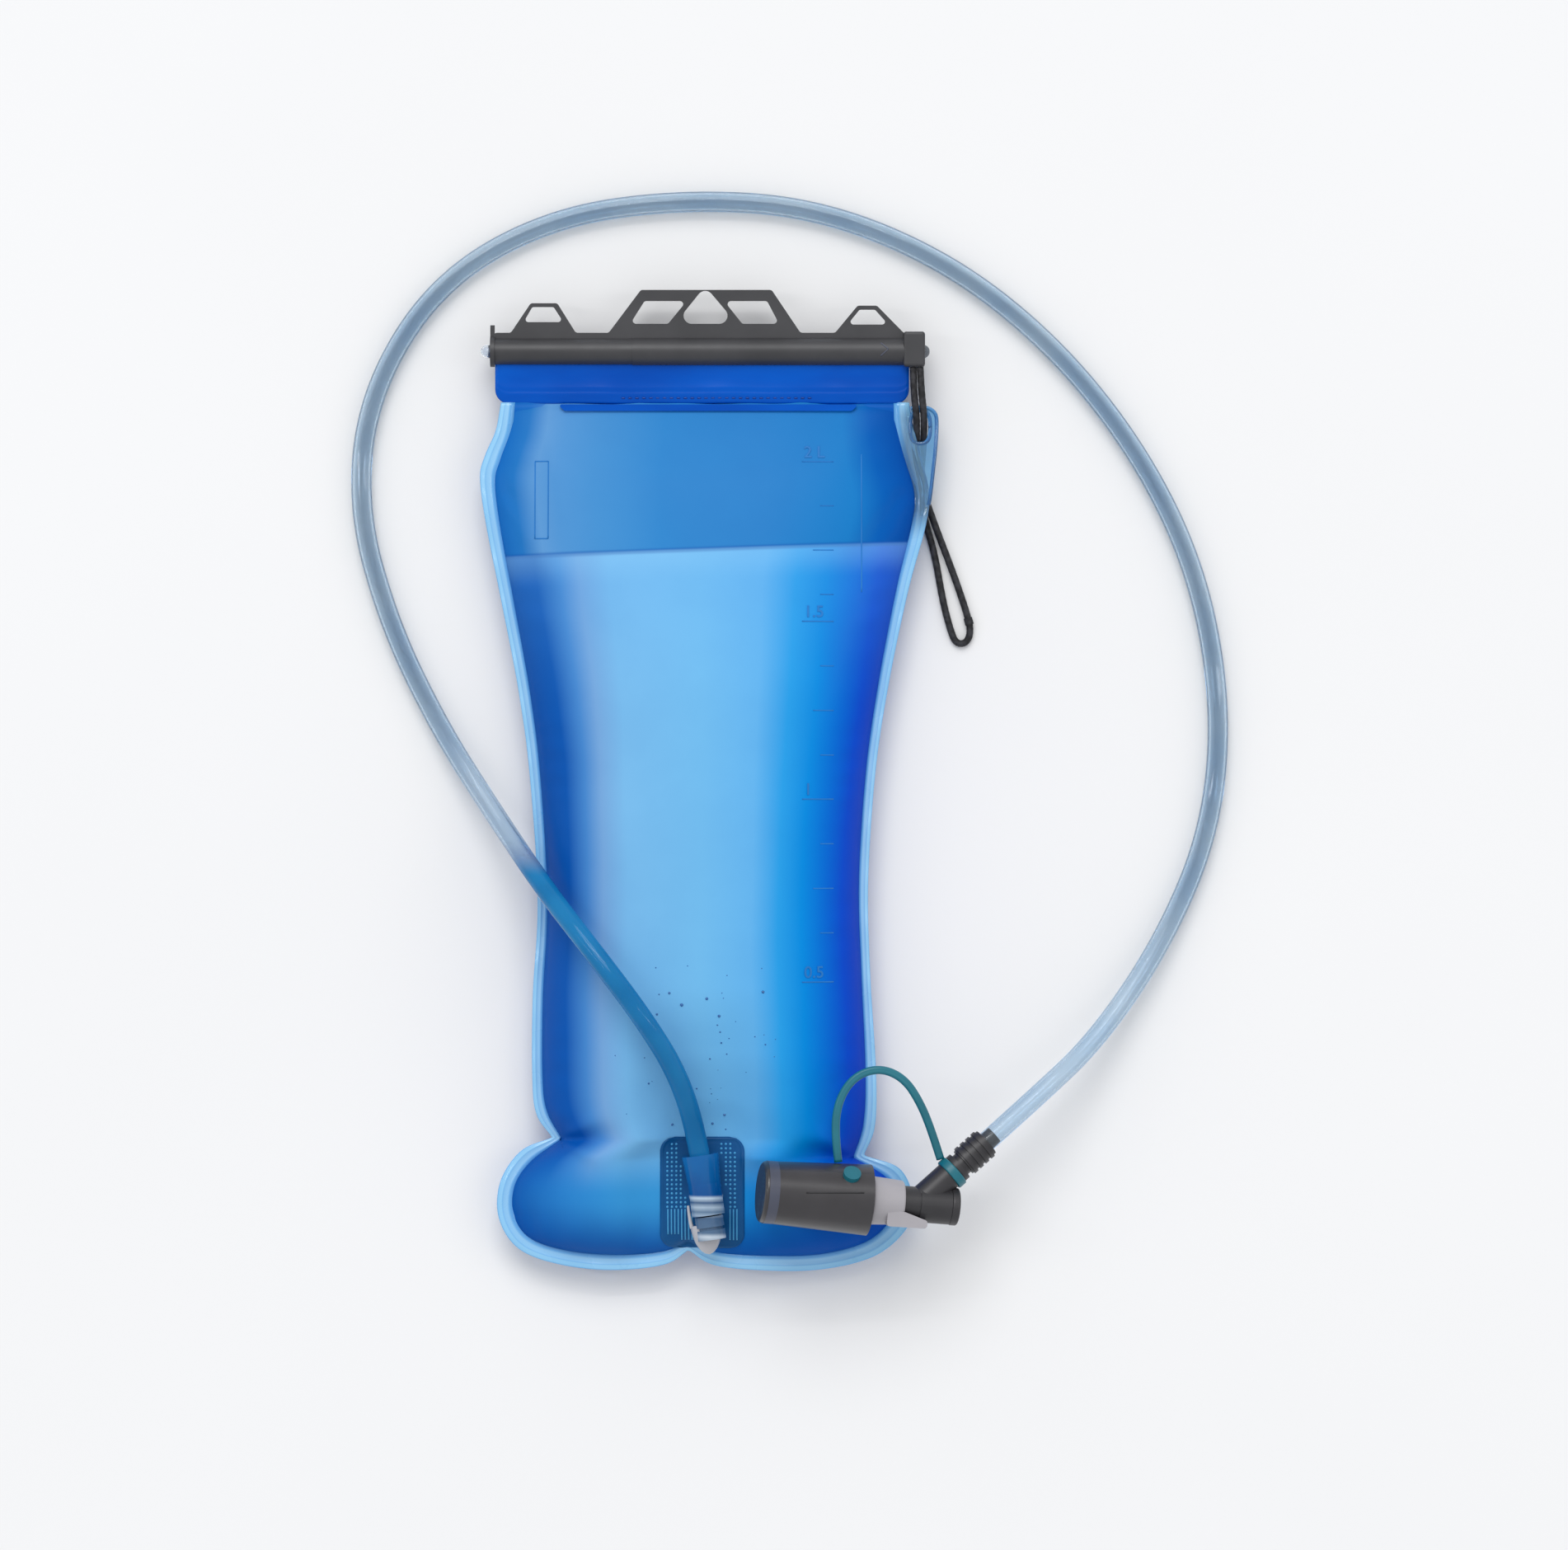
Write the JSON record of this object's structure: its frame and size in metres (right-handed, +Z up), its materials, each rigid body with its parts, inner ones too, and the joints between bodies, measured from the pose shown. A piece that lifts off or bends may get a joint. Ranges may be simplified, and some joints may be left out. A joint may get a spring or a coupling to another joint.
{
  "type": "hydration bladder",
  "caption": "Drinking bladder filled with water: film pouch with a slide clamp closure, port, long clear hose and capped bite valve.",
  "frame": {"origin": "on the flat back that the bladder lies on, under the middle of the pouch", "axes": "+Z up, out of the front film; +Y along the pouch to the slide closure; +X to the side where the clamp slides off"},
  "size_m": [0.3639, 0.4466, 0.0652],
  "materials": {
    "film": "gloss",
    "border": "gloss",
    "water": "gloss",
    "pad": "satin",
    "clear_plastic": "gloss",
    "hem": "gloss",
    "black_plastic": "satin",
    "cap_plastic": "satin",
    "band_plastic": "satin",
    "black_cord": "matte",
    "grey_plastic": "satin",
    "steel": "satin",
    "seal": "matte",
    "hose": "gloss",
    "silicone": "satin",
    "teal_rubber": "satin"
  },
  "bodies": {
    "bag": {"bag_front_film": "film", "bag_back_film": "film", "bag_weld_border": "border", "water_fill": "water", "port_pad": "pad", "port_inner_flange": "pad", "port_socket": "clear_plastic", "top_fold_hem": "hem", "mouth_lip": "hem", "closure_rod": "clear_plastic", "tab_eyelet": "border", "hang_tab": "border", "tether_cord": "black_cord", "tether_sleeve": "black_cord", "release_spring": "steel"},
    "clamp": {"slide_clamp": "black_plastic"},
    "release": {"release_button": "grey_plastic"},
    "hose_set": {"hose_elbow": "pad", "elbow_o_rings": "seal", "hose_tube": "hose", "branch_connector": "black_plastic", "hose_end_collar": "black_plastic", "connector_o_ring": "seal", "valve_body": "black_plastic", "valve_end_plug": "black_plastic", "bite_valve": "silicone", "strap_ring": "teal_rubber", "cap_strap": "teal_rubber"},
    "shutoff": {"shutoff_collar": "grey_plastic", "shutoff_spool": "grey_plastic", "spool_o_rings": "seal"},
    "cap": {"cap_shell": "cap_plastic", "cap_end_ring": "band_plastic", "strap_plug": "teal_rubber"}
  },
  "joints": [
    {"name": "clamp_slide", "type": "slide", "parent": "bag", "child": "clamp", "axis": [1, 0, 0], "range_m": [0, 0.186], "deforming": ["tether_cord", "tether_sleeve"]},
    {"name": "release_press", "type": "slide", "parent": "bag", "child": "release", "axis": [-0.1392, 0.9903, 0], "range_m": [0, 0.0016], "stiffness_N_per_m": 600, "springref_m": -0.001, "deforming": ["release_spring"]},
    {"name": "port_pull", "type": "slide", "parent": "bag", "child": "hose_set", "axis": [0, 0, 1], "range_m": [0, 0.014], "deforming": ["hose_tube"]},
    {"name": "shutoff_turn", "type": "hinge", "parent": "hose_set", "child": "shutoff", "pos_m": [0.067, -0.1722, 0.045], "axis": [0.9811, -0.0858, -0.1736], "range_deg": [0, 90]},
    {"name": "cap_pull", "type": "slide", "parent": "hose_set", "child": "cap", "axis": [-0.9811, 0.0858, 0.1736], "range_m": [0, 0.03], "deforming": ["cap_strap"]}
  ]
}
